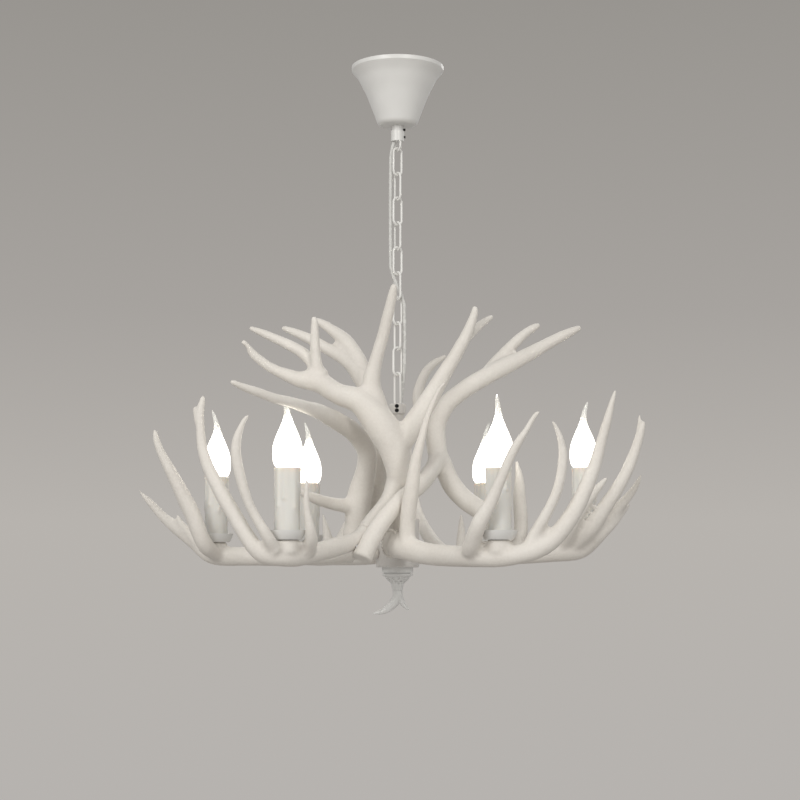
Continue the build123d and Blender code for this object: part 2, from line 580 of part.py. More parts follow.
with BuildPart() as column_cap:
    with BuildSketch(Plane.XY.offset(CAP_TOP - CAP_HEIGHT)):
        Circle(CAP_R)
    extrude(amount=CAP_HEIGHT)
    fillet(column_cap.faces().sort_by(Axis.Z)[-1].edges(), CAP_ROUND)
    with BuildSketch(Plane.XY.offset(CAP_TOP - CAP_HEIGHT)):
        Circle(COLUMN_R + SLIDE)
    extrude(amount=CAP_HEIGHT - CAP_ROOF, mode=Mode.SUBTRACT)
    with BuildSketch(Plane.XY.offset(CAP_TOP - CAP_ROOF)):
        with Locations((CORD_ENTRY, 0)):
            Circle(CORD_R + FIT)
        with Locations(turned(LOOP_ARC_R, EVEN_TURN), turned(-LOOP_ARC_R, EVEN_TURN)):
            Circle(WIRE_R + SLIDE)
    extrude(amount=CAP_ROOF, mode=Mode.SUBTRACT)
column_cap.part.label = "column_cap"
export_step(column_cap.part, "parts/column_cap.step")

with BuildPart() as column_tube:
    with BuildSketch(Plane.XY.offset(TUBE_END)):
        Circle(COLUMN_R)
        Circle(COLUMN_R - COLUMN_WALL, mode=Mode.SUBTRACT)
    extrude(amount=CAP_TOP - CAP_ROOF - TUBE_END)
column_tube.part.label = "column_tube"
export_step(column_tube.part, "parts/column_tube.step")

# ---------- hub ----------
with BuildPart() as hub_core:
    with BuildSketch(Plane.XY.offset(RING_Z + HUB_BOTTOM)):
        Circle(HUB_R)
    extrude(amount=HUB_TOP - HUB_BOTTOM)
    with BuildSketch(Plane.XY.offset(TUBE_END)):
        Circle(COLUMN_R + SLIDE)
    extrude(amount=TUBE_SEAT, mode=Mode.SUBTRACT)
    with BuildSketch(Plane.XY.offset(RING_Z + HUB_BOTTOM)):
        Circle(COLUMN_R - COLUMN_WALL)
    extrude(amount=TUBE_END - RING_Z - HUB_BOTTOM, mode=Mode.SUBTRACT)
    with BuildSketch(Plane.XY.offset(RING_Z + HUB_BOTTOM)):
        Circle(CHAMBER_R)
    extrude(amount=CHAMBER_HEIGHT, mode=Mode.SUBTRACT)
    for name in LUGS:
        add_rod(*stud_ends(name), STUD_R + SLIDE, Mode.SUBTRACT)
hub_core.part.label = "hub_core"
export_step(hub_core.part, "parts/hub_core.step")

PLATE_BOTTOM = RING_Z + HUB_BOTTOM - PLATE_THICK
ROD_R = 4.0

with BuildPart() as hub_plate:
    with BuildSketch(Plane.XY.offset(PLATE_BOTTOM)):
        Circle(PLATE_R)
        Circle(ROD_R + SLIDE, mode=Mode.SUBTRACT)
    extrude(amount=PLATE_THICK)
    fillet(hub_plate.edges().filter_by(GeomType.CIRCLE).group_by(Axis.Z)[0].sort_by(SortBy.RADIUS)[-1], PLATE_ROUND)
hub_plate.part.label = "hub_plate"
export_step(hub_plate.part, "parts/hub_plate.step")

# ---------- finial ----------
DISC_TOP = PLATE_BOTTOM - FINIAL_NECK - FINIAL_GROOVE
DISC_BOTTOM = DISC_TOP - FINIAL_DISC
STEM_BOTTOM = DISC_BOTTOM - FINIAL_STEM

with BuildPart() as finial_cap:
    with BuildSketch(Plane.XZ):
        with BuildLine():
            Polyline(
                (0, PLATE_BOTTOM), (FINIAL_NECK_R, PLATE_BOTTOM), (FINIAL_NECK_R, PLATE_BOTTOM - FINIAL_NECK),
                (FINIAL_GROOVE_R, PLATE_BOTTOM - FINIAL_NECK), (FINIAL_GROOVE_R, DISC_TOP), (FINIAL_DISC_R, DISC_TOP),
                (FINIAL_DISC_R, DISC_TOP - FINIAL_DISC / 4),
            )
            Line((FINIAL_DISC_R, DISC_TOP - FINIAL_DISC / 4), (FINIAL_STEM_R + FINIAL_BUD_R, DISC_BOTTOM))
            Line((FINIAL_STEM_R + FINIAL_BUD_R, DISC_BOTTOM), (FINIAL_STEM_R, STEM_BOTTOM))
            Polyline((FINIAL_STEM_R, STEM_BOTTOM), (0, STEM_BOTTOM), (0, PLATE_BOTTOM))
        make_face()
    revolve(axis=Axis.Z)
    with Locations((0, 0, DISC_BOTTOM)):
        with PolarLocations(FINIAL_STEM_R + FINIAL_BUD_R, FINIAL_BUDS):
            Sphere(FINIAL_BUD_R)
    with BuildSketch(Plane.XY.offset(PLATE_BOTTOM)):
        Circle(ROD_R + SLIDE)
    extrude(amount=-FINIAL_NECK, mode=Mode.SUBTRACT)
finial_cap.part.label = "finial_cap"
export_step(finial_cap.part, "parts/finial_cap.step")

with BuildPart() as finial_rod:
    with BuildSketch(Plane.XY.offset(PLATE_BOTTOM - FINIAL_NECK + FIT)):
        Circle(ROD_R)
    extrude(amount=FINIAL_NECK + PLATE_THICK + NUT_THICK)
finial_rod.part.label = "finial_rod"
export_step(finial_rod.part, "parts/finial_rod.step")

with BuildPart() as finial_nut:
    with BuildSketch(Plane.XY.offset(PLATE_BOTTOM + PLATE_THICK)):
        RegularPolygon(NUT_ACROSS / 2, 6, major_radius=False)
        Circle(ROD_R + SLIDE, mode=Mode.SUBTRACT)
    extrude(amount=NUT_THICK)
finial_nut.part.label = "finial_nut"
export_step(finial_nut.part, "parts/finial_nut.step")

with BuildPart() as finial_antler:
    for branch in FINIAL_ANTLER:
        add_branch(branch, STEM_BOTTOM)
finial_antler.part.label = "finial_antler"
export_step(finial_antler.part, "parts/finial_antler.step")

# ---------- antlers ----------
build_antler("lower_antler_1", LOWER_1, lamp=LAMPS[0])
build_antler("lower_antler_2", LOWER_2, lamp=LAMPS[1])
build_antler("lower_antler_3", LOWER_3, lamp=LAMPS[2])
build_antler("lower_antler_4", LOWER_4, lamp=LAMPS[3])
build_antler("lower_antler_5", LOWER_5, lamp=LAMPS[4])
build_antler("lower_antler_6", LOWER_6, lamp=LAMPS[5])
build_antler("upper_antler_front", UPPER_FRONT, copes=LOWER_1[:2] + LOWER_2[:1] + UPPER_RIGHT[4:])
build_antler("upper_antler_right", UPPER_RIGHT, copes=LOWER_4[:1] + LOWER_2[:1])
build_antler("upper_antler_left", UPPER_LEFT, copes=LOWER_3[:1] + LOWER_5[3:])

with BuildPart() as antler_studs:
    for name in LUGS:
        add_rod(*stud_ends(name), STUD_R)
    for ends in CROSS_STUDS.values():
        add_rod(over_ring(ends[0]), over_ring(ends[1]), STUD_R)
antler_studs.part.label = "antler_studs"
export_step(antler_studs.part, "parts/antler_studs.step")

# ---------- lamps ----------
SLEEVE_BASE = CUP_WALL
SLEEVE_TOP = SLEEVE_BASE + SLEEVE_LENGTH
HOLDER_TOP = SLEEVE_TOP - 2 * CUP_WALL
HOLDER_BASE = HOLDER_TOP - HOLDER_LENGTH
TUBE_BITE = 4.0
BULB_BASE = HOLDER_TOP + FIT
E14_BASE = BULB_BASE - CAP_E14_LENGTH

for number, lamp in enumerate(LAMPS, start=1):
    x, y, seat = lamp_place(lamp)
    with BuildPart() as drip_cup:
        with BuildSketch(Plane(origin=(x, y, seat), x_dir=(1, 0, 0), z_dir=(0, -1, 0))):
            with BuildLine():
                Line((LAMP_TUBE_R + SLIDE, 0), (SLEEVE_R + CUP_WALL, 0))
                RadiusArc((SLEEVE_R + CUP_WALL, 0), (CUP_R, CUP_HEIGHT), -2 * CUP_HEIGHT)
                Line((CUP_R, CUP_HEIGHT), (CUP_R - CUP_WALL, CUP_HEIGHT))
                RadiusArc((CUP_R - CUP_WALL, CUP_HEIGHT), (SLEEVE_R + FIT, CUP_WALL), 2 * CUP_HEIGHT)
                Line((SLEEVE_R + FIT, CUP_WALL), (LAMP_TUBE_R + SLIDE, CUP_WALL))
                Line((LAMP_TUBE_R + SLIDE, CUP_WALL), (LAMP_TUBE_R + SLIDE, 0))
            make_face()
        revolve(axis=Axis((x, y, seat), (0, 0, 1)))
    drip_cup.part.label = "drip_cup_" + str(number)
    export_step(drip_cup.part, "parts/" + drip_cup.part.label + ".step")

    with BuildPart() as candle_sleeve:
        with BuildSketch(Plane.XY.offset(seat + SLEEVE_BASE)):
            with Locations((x, y)):
                Circle(SLEEVE_R)
                Circle(SLEEVE_R - SLEEVE_WALL, mode=Mode.SUBTRACT)
        extrude(amount=SLEEVE_LENGTH)
    candle_sleeve.part.label = "candle_sleeve_" + str(number)
    export_step(candle_sleeve.part, "parts/" + candle_sleeve.part.label + ".step")

    glass = []
    for height, radius in BULB_OUTLINE:
        lean = BULB_LEAN * (max(0.0, height - BULB_BEND) / (BULB_OUTLINE[-1][0] - BULB_BEND)) ** 2
        glass.append((x + lean * cos(radians(lamp[3])), y + lean * sin(radians(lamp[3])), height, radius))
    with BuildPart() as bulb:
        add_branch(glass, seat + BULB_BASE)
        add_branch(glass[:BULB_HOLLOW], seat + BULB_BASE, -BULB_WALL, Mode.SUBTRACT)
    bulb.part.label = "bulb_glass_" + str(number)
    export_step(bulb.part, "parts/" + bulb.part.label + ".step")

with BuildPart() as lamp_holders:
    for lamp in LAMPS:
        x, y, seat = lamp_place(lamp)
        add_rod((x, y, seat + HOLDER_BASE), (x, y, seat + HOLDER_TOP), HOLDER_R)
        add_rod((x, y, seat + E14_BASE - CAP_ROOM), (x, y, seat + HOLDER_TOP), CAP_E14_R + SLIDE, Mode.SUBTRACT)
        add_rod((x, y, seat + HOLDER_BASE), (x, y, seat + HOLDER_BASE + TUBE_BITE), LAMP_TUBE_R + SLIDE, Mode.SUBTRACT)
lamp_holders.part.label = "lamp_holders"
export_step(lamp_holders.part, "parts/lamp_holders.step")

with BuildPart() as lamp_tubes:
    for lamp in LAMPS:
        x, y, seat = lamp_place(lamp)
        ends = (x, y, seat - LAMP_TUBE_DEPTH + FIT), (x, y, seat + HOLDER_BASE + TUBE_BITE)
        add_rod(*ends, LAMP_TUBE_R)
        add_rod(*ends, LAMP_TUBE_BORE, Mode.SUBTRACT)
lamp_tubes.part.label = "lamp_tubes"
export_step(lamp_tubes.part, "parts/lamp_tubes.step")

with BuildPart() as bulb_caps:
    for lamp in LAMPS:
        x, y, seat = lamp_place(lamp)
        add_rod((x, y, seat + E14_BASE), (x, y, seat + BULB_BASE), CAP_E14_R)
bulb_caps.part.label = "bulb_caps"
export_step(bulb_caps.part, "parts/bulb_caps.step")

# ---------- supply cord, woven along the chain ----------
CROSS_Z = FIRST_PIVOT - (CORD_CROSSING_LINK - 1) * PITCH + 2 * WIRE_R + FIT - LINK_SPAN / 2
CORD_ROUTE = [
    (0, 0, NIPPLE_TOP - 1),
    (0, 0, -CANOPY_HEIGHT - 5),
    CORD_CORNER,
    CORD_START,
    (-CORD_OFFSET - 0.5, 0, (FIRST_PIVOT + CROSS_Z) / 2),
    (-CORD_OFFSET, -0.4, CROSS_Z + 19),
    (CORD_OFFSET, 0.4, CROSS_Z - 19),
    (CORD_OFFSET + 0.5, 0, (CROSS_Z + LAST_PIVOT) / 2),
    (CORD_OFFSET, 0.3, LAST_PIVOT + 4),
    (CORD_ENTRY, 0, CAP_TOP + 8),
    (CORD_ENTRY, 0, CAP_TOP - CAP_ROOF + FIT),
]
CORD_BENDS = [50, 40, 40, 200, 22, 22, 200, 60, 30]

with BuildPart() as power_cord:
    with BuildLine() as route:
        FilletPolyline(*CORD_ROUTE, radius=CORD_BENDS)
    with BuildSketch(Plane(origin=route.line @ 0, z_dir=route.line % 0)) as section:
        Circle(CORD_R)
    sweep(section.sketch, path=route.line)
power_cord.part.label = "power_cord"
export_step(power_cord.part, "parts/power_cord.step")
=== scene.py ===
"""Looks of a hanging antler chandelier.

Cast resin antlers, wax candles with lit flame bulbs, and a chain with its cord.
"""

import json
from math import cos, exp, pi, radians, sin, tau

import bmesh
import bpy
from mathutils import Matrix, Vector, noise


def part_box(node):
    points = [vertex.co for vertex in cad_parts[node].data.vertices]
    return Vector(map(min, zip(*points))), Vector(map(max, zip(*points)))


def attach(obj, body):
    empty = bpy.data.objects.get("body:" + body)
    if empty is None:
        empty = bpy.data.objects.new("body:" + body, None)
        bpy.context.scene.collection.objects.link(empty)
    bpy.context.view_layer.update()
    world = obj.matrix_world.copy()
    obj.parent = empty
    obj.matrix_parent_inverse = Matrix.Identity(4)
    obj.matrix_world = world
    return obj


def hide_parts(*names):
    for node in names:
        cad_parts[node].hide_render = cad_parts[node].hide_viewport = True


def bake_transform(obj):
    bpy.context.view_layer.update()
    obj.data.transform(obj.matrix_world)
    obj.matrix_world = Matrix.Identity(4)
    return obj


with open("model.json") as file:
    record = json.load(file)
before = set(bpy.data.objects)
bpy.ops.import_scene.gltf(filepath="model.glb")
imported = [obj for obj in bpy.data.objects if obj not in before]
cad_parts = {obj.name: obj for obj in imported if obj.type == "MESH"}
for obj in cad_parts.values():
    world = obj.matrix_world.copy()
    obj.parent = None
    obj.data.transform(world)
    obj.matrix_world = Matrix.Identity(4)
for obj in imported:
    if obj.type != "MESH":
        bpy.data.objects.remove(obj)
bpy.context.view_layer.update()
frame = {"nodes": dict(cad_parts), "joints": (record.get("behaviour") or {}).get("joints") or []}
cad_nodes = frame["nodes"]

MM = 0.001

# The photograph's camera, fitted to the lamps: place in metres, upward pitch, and the lens on a 36 mm sensor.
CAMERA_PLACE = (0.0032, -2.143, -0.639)
CAMERA_PITCH = 5.385
CAMERA_LENS = 75.4
SENSOR_WIDTH = 36.0

ANTLERS = [
    "upper_antler_front", "upper_antler_right", "upper_antler_left",
    "lower_antler_1", "lower_antler_2", "lower_antler_3", "lower_antler_4", "lower_antler_5", "lower_antler_6",
]
LAMP_COUNT = 6


# ---------- material helpers ----------
def start_material(name):
    """A material with its shader, ready for colour and bump."""
    material = bpy.data.materials.new(name)
    material.use_nodes = True
    nodes = material.node_tree.nodes
    return material, nodes, material.node_tree.links, nodes["Principled BSDF"]


def set_sockets(node, **values):
    for name, value in values.items():
        node.inputs[name.replace("_", " ")].default_value = value


def object_pattern(nodes, links, kind, scale, stretch=(1, 1, 1), detail=2.0, roughness=0.5):
    """A noise or cell pattern on the piece's own coordinates, drawn out along an axis where asked."""
    place = nodes.new("ShaderNodeTexCoord")
    mapping = nodes.new("ShaderNodeMapping")
    mapping.inputs["Scale"].default_value = stretch
    links.new(place.outputs["Object"], mapping.inputs["Vector"])
    pattern = nodes.new(kind)
    pattern.inputs["Scale"].default_value = scale
    if kind == "ShaderNodeTexNoise":
        pattern.inputs["Detail"].default_value = detail
        pattern.inputs["Roughness"].default_value = roughness
    links.new(mapping.outputs["Vector"], pattern.inputs["Vector"])
    return pattern


def tint_by(nodes, links, value, stops):
    """A colour ramp over a pattern: stops are (place, colour)."""
    ramp = nodes.new("ShaderNodeValToRGB")
    band = ramp.color_ramp
    for index, (place, colour) in enumerate(stops):
        stop = band.elements[index] if index < 2 else band.elements.new(place)
        stop.position = place
        stop.color = (*colour, 1.0)
    links.new(value, ramp.inputs["Fac"])
    return ramp.outputs["Color"]


def mix_colours(nodes, links, factor, first, second, blend="MIX"):
    mix = nodes.new("ShaderNodeMix")
    mix.data_type = "RGBA"
    mix.blend_type = blend
    if isinstance(factor, float):
        mix.inputs["Factor"].default_value = factor
    else:
        links.new(factor, mix.inputs["Factor"])
    for socket, colour in ((mix.inputs[6], first), (mix.inputs[7], second)):
        if isinstance(colour, tuple):
            socket.default_value = (*colour, 1.0)
        else:
            links.new(colour, socket)
    return mix.outputs[2]


def bump_from(nodes, links, shader, layers):
    """Bump in real heights: layers are (pattern output, height in millimetres)."""
    before = None
    for height, millimetres in layers:
        bump = nodes.new("ShaderNodeBump")
        bump.inputs["Strength"].default_value = 1.0
        bump.inputs["Distance"].default_value = millimetres * MM
        links.new(height, bump.inputs["Height"])
        if before is not None:
            links.new(before, bump.inputs["Normal"])
        before = bump.outputs["Normal"]
    links.new(before, shader.inputs["Normal"])


def roughness_from(nodes, links, shader, value, low, high):
    spread = nodes.new("ShaderNodeMapRange")
    spread.inputs["To Min"].default_value = low
    spread.inputs["To Max"].default_value = high
    links.new(value, spread.inputs["Value"])
    links.new(spread.outputs["Result"], shader.inputs["Roughness"])


# ---------- finishes ----------
TIP_GLOW = 0.12
BODY_GLOW = 2.6
TIP_CLEARNESS = 0.75


def antler_resin():
    """Cast resin painted matt warm white: faint cloudiness, painted shade darkening the creases, fine brush grain and
    pinholes.
    """
    material, nodes, links, shader = start_material("antler_resin")
    cloud = object_pattern(nodes, links, "ShaderNodeTexNoise", 14, detail=4, roughness=0.6)
    grain = object_pattern(nodes, links, "ShaderNodeTexNoise", 320, detail=4, roughness=0.65)
    pores = object_pattern(nodes, links, "ShaderNodeTexVoronoi", 420)
    crease_shade = nodes.new("ShaderNodeAttribute")
    crease_shade.attribute_name = "crease_shade"
    base = tint_by(nodes, links, cloud.outputs["Fac"], [(0.3, (0.73, 0.695, 0.645)), (0.72, (0.81, 0.78, 0.73))])
    speck = tint_by(nodes, links, grain.outputs["Fac"], [(0.3, (0.90, 0.89, 0.88)), (0.6, (1.0, 1.0, 1.0))])
    painted = mix_colours(nodes, links, 0.5, base, speck, "MULTIPLY")
    # Painted shade: the colour darkens towards a deep grey-brown where the surface lies in a crease.
    shaded = mix_colours(nodes, links, crease_shade.outputs["Fac"], painted, (0.53, 0.495, 0.455))
    links.new(shaded, shader.inputs["Base Color"])
    roughness_from(nodes, links, shader, cloud.outputs["Fac"], 0.46, 0.62)
    set_sockets(shader, Specular_IOR_Level=0.35, Subsurface_Weight=0.0)
    bump_from(nodes, links, shader, [
        (cloud.outputs["Fac"], 0.5), (grain.outputs["Fac"], 0.10), (pores.outputs["Distance"], 0.05),
    ])
    return material


def satin_paint(name, light, dark, roughness, orange_peel=0.02):
    """Sprayed white paint on metal: a soft orange peel and a slight drift of tone."""
    material, nodes, links, shader = start_material(name)
    drift = object_pattern(nodes, links, "ShaderNodeTexNoise", 22, detail=3)
    peel = object_pattern(nodes, links, "ShaderNodeTexNoise", 700, detail=2)
    links.new(
        tint_by(nodes, links, drift.outputs["Fac"], [(0.25, dark), (0.75, light)]), shader.inputs["Base Color"],
    )
    roughness_from(nodes, links, shader, drift.outputs["Fac"], roughness - 0.05, roughness + 0.08)
    set_sockets(shader, Coat_Weight=0.25, Coat_Roughness=0.25)
    bump_from(nodes, links, shader, [(peel.outputs["Fac"], orange_peel)])
    return material


def candle_wax():
    """Ivory card sleeve with poured wax: soft, a little see-through, streaked downwards."""
    material, nodes, links, shader = start_material("candle_wax")
    streaks = object_pattern(nodes, links, "ShaderNodeTexNoise", 60, stretch=(1, 1, 0.12), detail=3)
    mottle = object_pattern(nodes, links, "ShaderNodeTexNoise", 240, detail=3)
    tone = tint_by(nodes, links, streaks.outputs["Fac"], [(0.3, (0.70, 0.68, 0.635)), (0.7, (0.80, 0.785, 0.74))])
    links.new(tone, shader.inputs["Base Color"])
    roughness_from(nodes, links, shader, mottle.outputs["Fac"], 0.34, 0.52)
    set_sockets(shader, Subsurface_Weight=0.25, Subsurface_Scale=0.004)
    shader.inputs["Subsurface Radius"].default_value = (1.0, 0.8, 0.6)
    bump_from(nodes, links, shader, [(streaks.outputs["Fac"], 0.25), (mottle.outputs["Fac"], 0.05)])
    return material


def flame_glass():
    """Frosted flame bulb, lit: the body glows white, and the drawn-out tip is clear and greyer."""
    material, nodes, links, shader = start_material("flame_glass")
    glow = nodes.new("ShaderNodeAttribute")
    glow.attribute_name = "glow"
    frost = object_pattern(nodes, links, "ShaderNodeTexNoise", 400, detail=2)
    colour = tint_by(nodes, links, glow.outputs["Fac"], [(0.0, (0.86, 0.86, 0.83)), (0.5, (1.0, 1.0, 0.98))])
    links.new(colour, shader.inputs["Base Color"])
    strength = nodes.new("ShaderNodeMapRange")
    strength.interpolation_type = "SMOOTHSTEP"
    strength.inputs["To Min"].default_value = TIP_GLOW
    strength.inputs["To Max"].default_value = BODY_GLOW
    links.new(glow.outputs["Fac"], strength.inputs["Value"])
    links.new(strength.outputs["Result"], shader.inputs["Emission Strength"])
    shader.inputs["Emission Color"].default_value = (1.0, 0.96, 0.88, 1.0)
    clear = nodes.new("ShaderNodeMapRange")
    clear.inputs["To Min"].default_value = TIP_CLEARNESS
    clear.inputs["To Max"].default_value = 0.0
    links.new(glow.outputs["Fac"], clear.inputs["Value"])
    links.new(clear.outputs["Result"], shader.inputs["Transmission Weight"])
    roughness_from(nodes, links, shader, frost.outputs["Fac"], 0.12, 0.26)
    bump_from(nodes, links, shader, [(frost.outputs["Fac"], 0.02)])
    return material


def clear_sheath():
    """The cord's soft clear sheath, a little cloudy."""
    material, nodes, links, shader = start_material("clear_sheath")
    cloud = object_pattern(nodes, links, "ShaderNodeTexNoise", 160, detail=3)
    links.new(
        tint_by(nodes, links, cloud.outputs["Fac"], [(0.3, (0.66, 0.655, 0.63)), (0.7, (0.74, 0.735, 0.71))]),
        shader.inputs["Base Color"],
    )
    roughness_from(nodes, links, shader, cloud.outputs["Fac"], 0.2, 0.34)
    set_sockets(shader, Transmission_Weight=0.12, IOR=1.3)
    bump_from(nodes, links, shader, [(cloud.outputs["Fac"], 0.02)])
    return material


def plated_steel(name, light, dark, roughness):
    """Plated or blackened steel with fine turned lines."""
    material, nodes, links, shader = start_material(name)
    lines = object_pattern(nodes, links, "ShaderNodeTexNoise", 900, stretch=(1, 1, 0.15), detail=2)
    drift = object_pattern(nodes, links, "ShaderNodeTexNoise", 90, detail=3)
    links.new(
        tint_by(nodes, links, drift.outputs["Fac"], [(0.3, dark), (0.7, light)]), shader.inputs["Base Color"],
    )
    roughness_from(nodes, links, shader, lines.outputs["Fac"], roughness - 0.06, roughness + 0.1)
    set_sockets(shader, Metallic=0.9)
    bump_from(nodes, links, shader, [(lines.outputs["Fac"], 0.01)])
    return material


resin = antler_resin()
canopy_paint = satin_paint("canopy_paint", (0.76, 0.755, 0.735), (0.72, 0.715, 0.695), 0.36)
chain_paint = satin_paint("chain_paint", (0.83, 0.825, 0.80), (0.74, 0.73, 0.705), 0.36, 0.04)
hub_paint = satin_paint("hub_paint", (0.74, 0.72, 0.69), (0.64, 0.615, 0.585), 0.5, 0.05)
finial_paint = satin_paint("finial_paint", (0.84, 0.84, 0.825), (0.77, 0.77, 0.755), 0.42, 0.04)
cup_paint = satin_paint("cup_paint", (0.74, 0.735, 0.715), (0.67, 0.665, 0.645), 0.38)
holder_plastic = satin_paint("holder_plastic", (0.80, 0.80, 0.78), (0.74, 0.74, 0.72), 0.4, 0.01)
wax = candle_wax()
flame = flame_glass()
sheath = clear_sheath()
core_plastic = satin_paint("core_plastic", (0.82, 0.82, 0.80), (0.74, 0.74, 0.72), 0.45, 0.01)
zinc = plated_steel("zinc_plate", (0.66, 0.66, 0.66), (0.50, 0.50, 0.51), 0.35)
black_steel = plated_steel("black_steel", (0.03, 0.03, 0.03), (0.012, 0.012, 0.012), 0.6)

# ---------- finishes on the CAD's own pieces ----------
CARRIED_FINISHES = {
    "canopy_cover": canopy_paint, "canopy_collar": canopy_paint, "canopy_loop": chain_paint,
    "column_loop": chain_paint, "column_cap": hub_paint, "column_tube": hub_paint, "hub_core": hub_paint,
    "hub_plate": hub_paint, "finial_cap": finial_paint, "collar_screws": black_steel, "lamp_holders": holder_plastic,
    "terminal_block": holder_plastic,
}


def finish_of(node):
    if node in CARRIED_FINISHES:
        return CARRIED_FINISHES[node]
    if node.startswith("chain_link"):
        return chain_paint
    if node.startswith("drip_cup"):
        return cup_paint
    return zinc


for node, piece in cad_nodes.items():
    piece.data.materials.clear()
    piece.data.materials.append(finish_of(node))


# ---------- mesh helpers ----------
WELD = 0.01 * MM


def link_piece(name, mesh):
    piece = bpy.data.objects.new(name, mesh)
    bpy.context.scene.collection.objects.link(piece)
    return piece


def settle(piece):
    """Turn a piece with live modifiers into a plain mesh."""
    graph = bpy.context.evaluated_depsgraph_get()
    mesh = bpy.data.meshes.new_from_object(piece.evaluated_get(graph), depsgraph=graph)
    piece.modifiers.clear()
    piece.data = mesh
    return piece


def smooth_faces(mesh):
    mesh.polygons.foreach_set("use_smooth", [True] * len(mesh.polygons))


def mesh_from_rings(rings, close_start=True, close_end=True):
    """A skin over rows of points, each row a closed ring. Each end is closed by a fan where wanted."""
    shape = bmesh.new()
    rows = [[shape.verts.new(point) for point in ring] for ring in rings]
    count = len(rings[0])
    for lower, upper in zip(rows, rows[1:]):
        for k in range(count):
            shape.faces.new((lower[k], lower[(k + 1) % count], upper[(k + 1) % count], upper[k]))
    for row, wanted in ((rows[0], close_start), (rows[-1], close_end)):
        if wanted:
            centre = shape.verts.new(sum((v.co for v in row), Vector()) / count)
            for k in range(count):
                shape.faces.new((row[k], row[(k + 1) % count], centre))
    bmesh.ops.recalc_face_normals(shape, faces=shape.faces)
    return shape


def bmesh_to_piece(name, shape, material):
    mesh = bpy.data.meshes.new(name)
    shape.to_mesh(mesh)
    shape.free()
    smooth_faces(mesh)
    mesh.materials.append(material)
    return link_piece(name, mesh)


# ---------- antlers ----------
# Rounds of smoothing on the swollen and on the final surface, and the share of a voxel that they eat away.
WEB_SMOOTHING = 6
SURFACE_SMOOTHING = 4
SMOOTHING_LOSS = 1 / 6
CREASE_REACH = 0.25 * MM
# Long swellings, dents and tool marks: how often they repeat in a metre, and their share of the depth.
SURFACE_WAVES = [(38, 0.55), (110, 0.22), (300, 0.07)]


def copy_cad_solid(node, name):
    shape = bmesh.new()
    shape.from_mesh(cad_nodes[node].data)
    bmesh.ops.remove_doubles(shape, verts=shape.verts, dist=WELD)
    mesh = bpy.data.meshes.new(name)
    shape.to_mesh(mesh)
    shape.free()
    return link_piece(name, mesh)


def remesh(piece, voxel):
    modifier = piece.modifiers.new("remesh", "REMESH")
    modifier.mode = "VOXEL"
    modifier.voxel_size = voxel


def swell(piece, distance):
    modifier = piece.modifiers.new("swell", "DISPLACE")
    modifier.strength = distance
    modifier.mid_level = 0.0
    modifier.direction = "NORMAL"


def relax(piece, rounds):
    modifier = piece.modifiers.new("relax", "SMOOTH")
    modifier.iterations = rounds
    modifier.factor = 0.5


def mark_crease_shade(mesh, reach):
    """Store how deep each point lies in a crease, for the painted shade that darkens the hollows."""
    shape = bmesh.new()
    shape.from_mesh(mesh)
    shape.verts.ensure_lookup_table()
    depths = []
    for vert in shape.verts:
        middle = sum((edge.other_vert(vert).co for edge in vert.link_edges), Vector()) / len(vert.link_edges)
        depths.append((middle - vert.co).dot(vert.normal) / reach)
    shape.free()
    # Painted shade: the stored depth darkens the resin's colour in the hollows.
    crease_shade = mesh.attributes.new("crease_shade", "FLOAT", "POINT")
    crease_shade.data.foreach_set("value", [max(0.0, min(1.0, depth)) for depth in depths])


def undulate(mesh, depth):
    """Long swellings and small hand-finished dents, moved along the surface's own normals."""
    places = [vert.co.copy() for vert in mesh.vertices]
    outwards = [normal.vector.copy() for normal in mesh.vertex_normals]
    moved = []
    for place, outward in zip(places, outwards):
        rise = sum(noise.noise(place * pace) * share for pace, share in SURFACE_WAVES)
        moved.extend(place + outward * (rise * depth))
    mesh.vertices.foreach_set("co", moved)
    mesh.update()


def cast_antler(node, web, voxel, depth, finish):
    """The antler as cast: webs fill the forks, tines swell and thin unevenly, and the surface undulates."""
    antler = copy_cad_solid(node, "cast_" + node)
    remesh(antler, voxel)
    swell(antler, web)
    remesh(antler, voxel)
    relax(antler, WEB_SMOOTHING)
    swell(antler, -web)
    remesh(antler, voxel)
    relax(antler, SURFACE_SMOOTHING)
    swell(antler, voxel * SMOOTHING_LOSS)
    settle(antler)
    mesh = antler.data
    undulate(mesh, depth)
    mark_crease_shade(mesh, CREASE_REACH)
    smooth_faces(mesh)
    mesh.materials.clear()
    mesh.materials.append(finish)
    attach(antler, "chandelier")
    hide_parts(node)
    return antler


for node in ANTLERS:
    cast_antler(node, web=3.2 * MM, voxel=1.4 * MM, depth=0.9 * MM, finish=resin)
cast_antler("finial_antler", web=0.8 * MM, voxel=0.3 * MM, depth=0.2 * MM, finish=finial_paint)


# ---------- pearls and petals that repeat round a ring ----------
BEAD_FINENESS = 3


